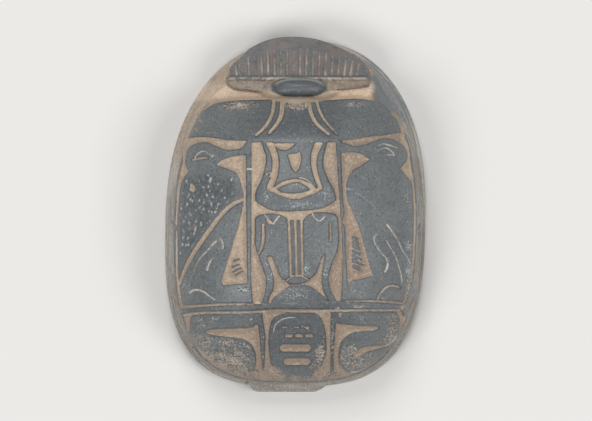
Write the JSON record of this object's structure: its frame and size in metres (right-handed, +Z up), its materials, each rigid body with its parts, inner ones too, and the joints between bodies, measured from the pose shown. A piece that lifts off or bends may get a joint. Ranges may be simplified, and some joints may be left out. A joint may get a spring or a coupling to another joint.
{
  "type": "scarab amulet",
  "caption": "Stone scarab beetle amulet with a domed back carved in raised relief, legs along its sides and a flat underside.",
  "frame": {"origin": "middle of the bounding box on the underside", "axes": "+Z up out of the back, +Y towards the head, +X to the right seen from above"},
  "size_m": [0.0521, 0.071, 0.027],
  "materials": {
    "dark_stone": "polished dark blue-grey stone, worn matt and tan where the ground is cut away"
  },
  "bodies": {
    "root": {"scarab_stone": "dark_stone"}
  },
  "joints": []
}
